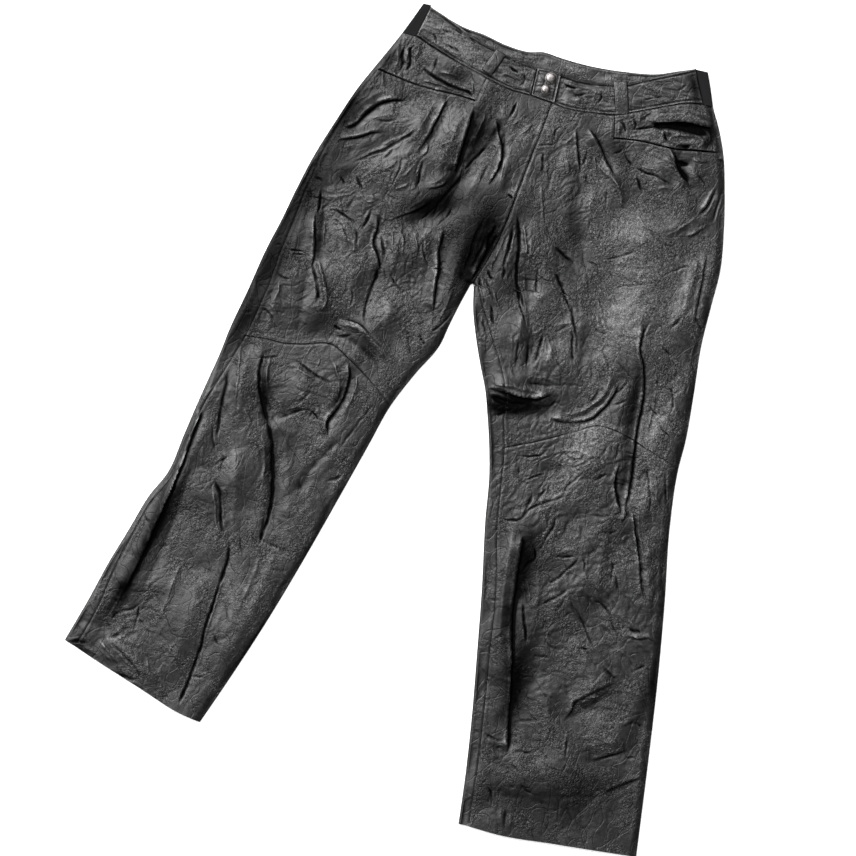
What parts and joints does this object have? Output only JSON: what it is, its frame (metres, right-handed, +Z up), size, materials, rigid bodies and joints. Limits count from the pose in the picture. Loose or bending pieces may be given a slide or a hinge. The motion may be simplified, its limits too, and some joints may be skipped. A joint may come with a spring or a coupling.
{
  "type": "leather trousers",
  "caption": "Straight-leg black leather trousers lying flat, fly side up, with a snapped waistband tab, slant pockets, belt loops, elastic side inserts and seamed knees.",
  "frame": {"origin": "centre of the bounding box in plan, on the surface that the trousers lie on", "axes": "+Y along the centre front towards the waist, +X to the right seen from above, +Z up out of the front panels"},
  "size_m": [0.7867, 1.03, 0.0153],
  "materials": {
    "leather": "semi-gloss, creased",
    "leather_back": "satin",
    "band_leather": "semi-gloss",
    "elastic": "matte",
    "snap_metal": "polished, slightly dark"
  },
  "bodies": {
    "root": {"front_thigh_left": "leather", "front_thigh_right": "leather", "front_shin_left": "leather", "front_shin_right": "leather", "back_thigh_left": "leather_back", "back_thigh_right": "leather_back", "back_shin_left": "leather_back", "back_shin_right": "leather_back", "pocket_facing_left": "leather_back", "pocket_facing_right": "leather_back", "waistband_front_left": "band_leather", "waistband_front_right": "band_leather", "waistband_tab": "band_leather", "waistband_back": "band_leather", "elastic_left": "elastic", "elastic_right": "elastic", "belt_loop_left": "band_leather", "belt_loop_right": "band_leather", "snap_upper": "snap_metal", "snap_lower": "snap_metal"}
  },
  "joints": []
}
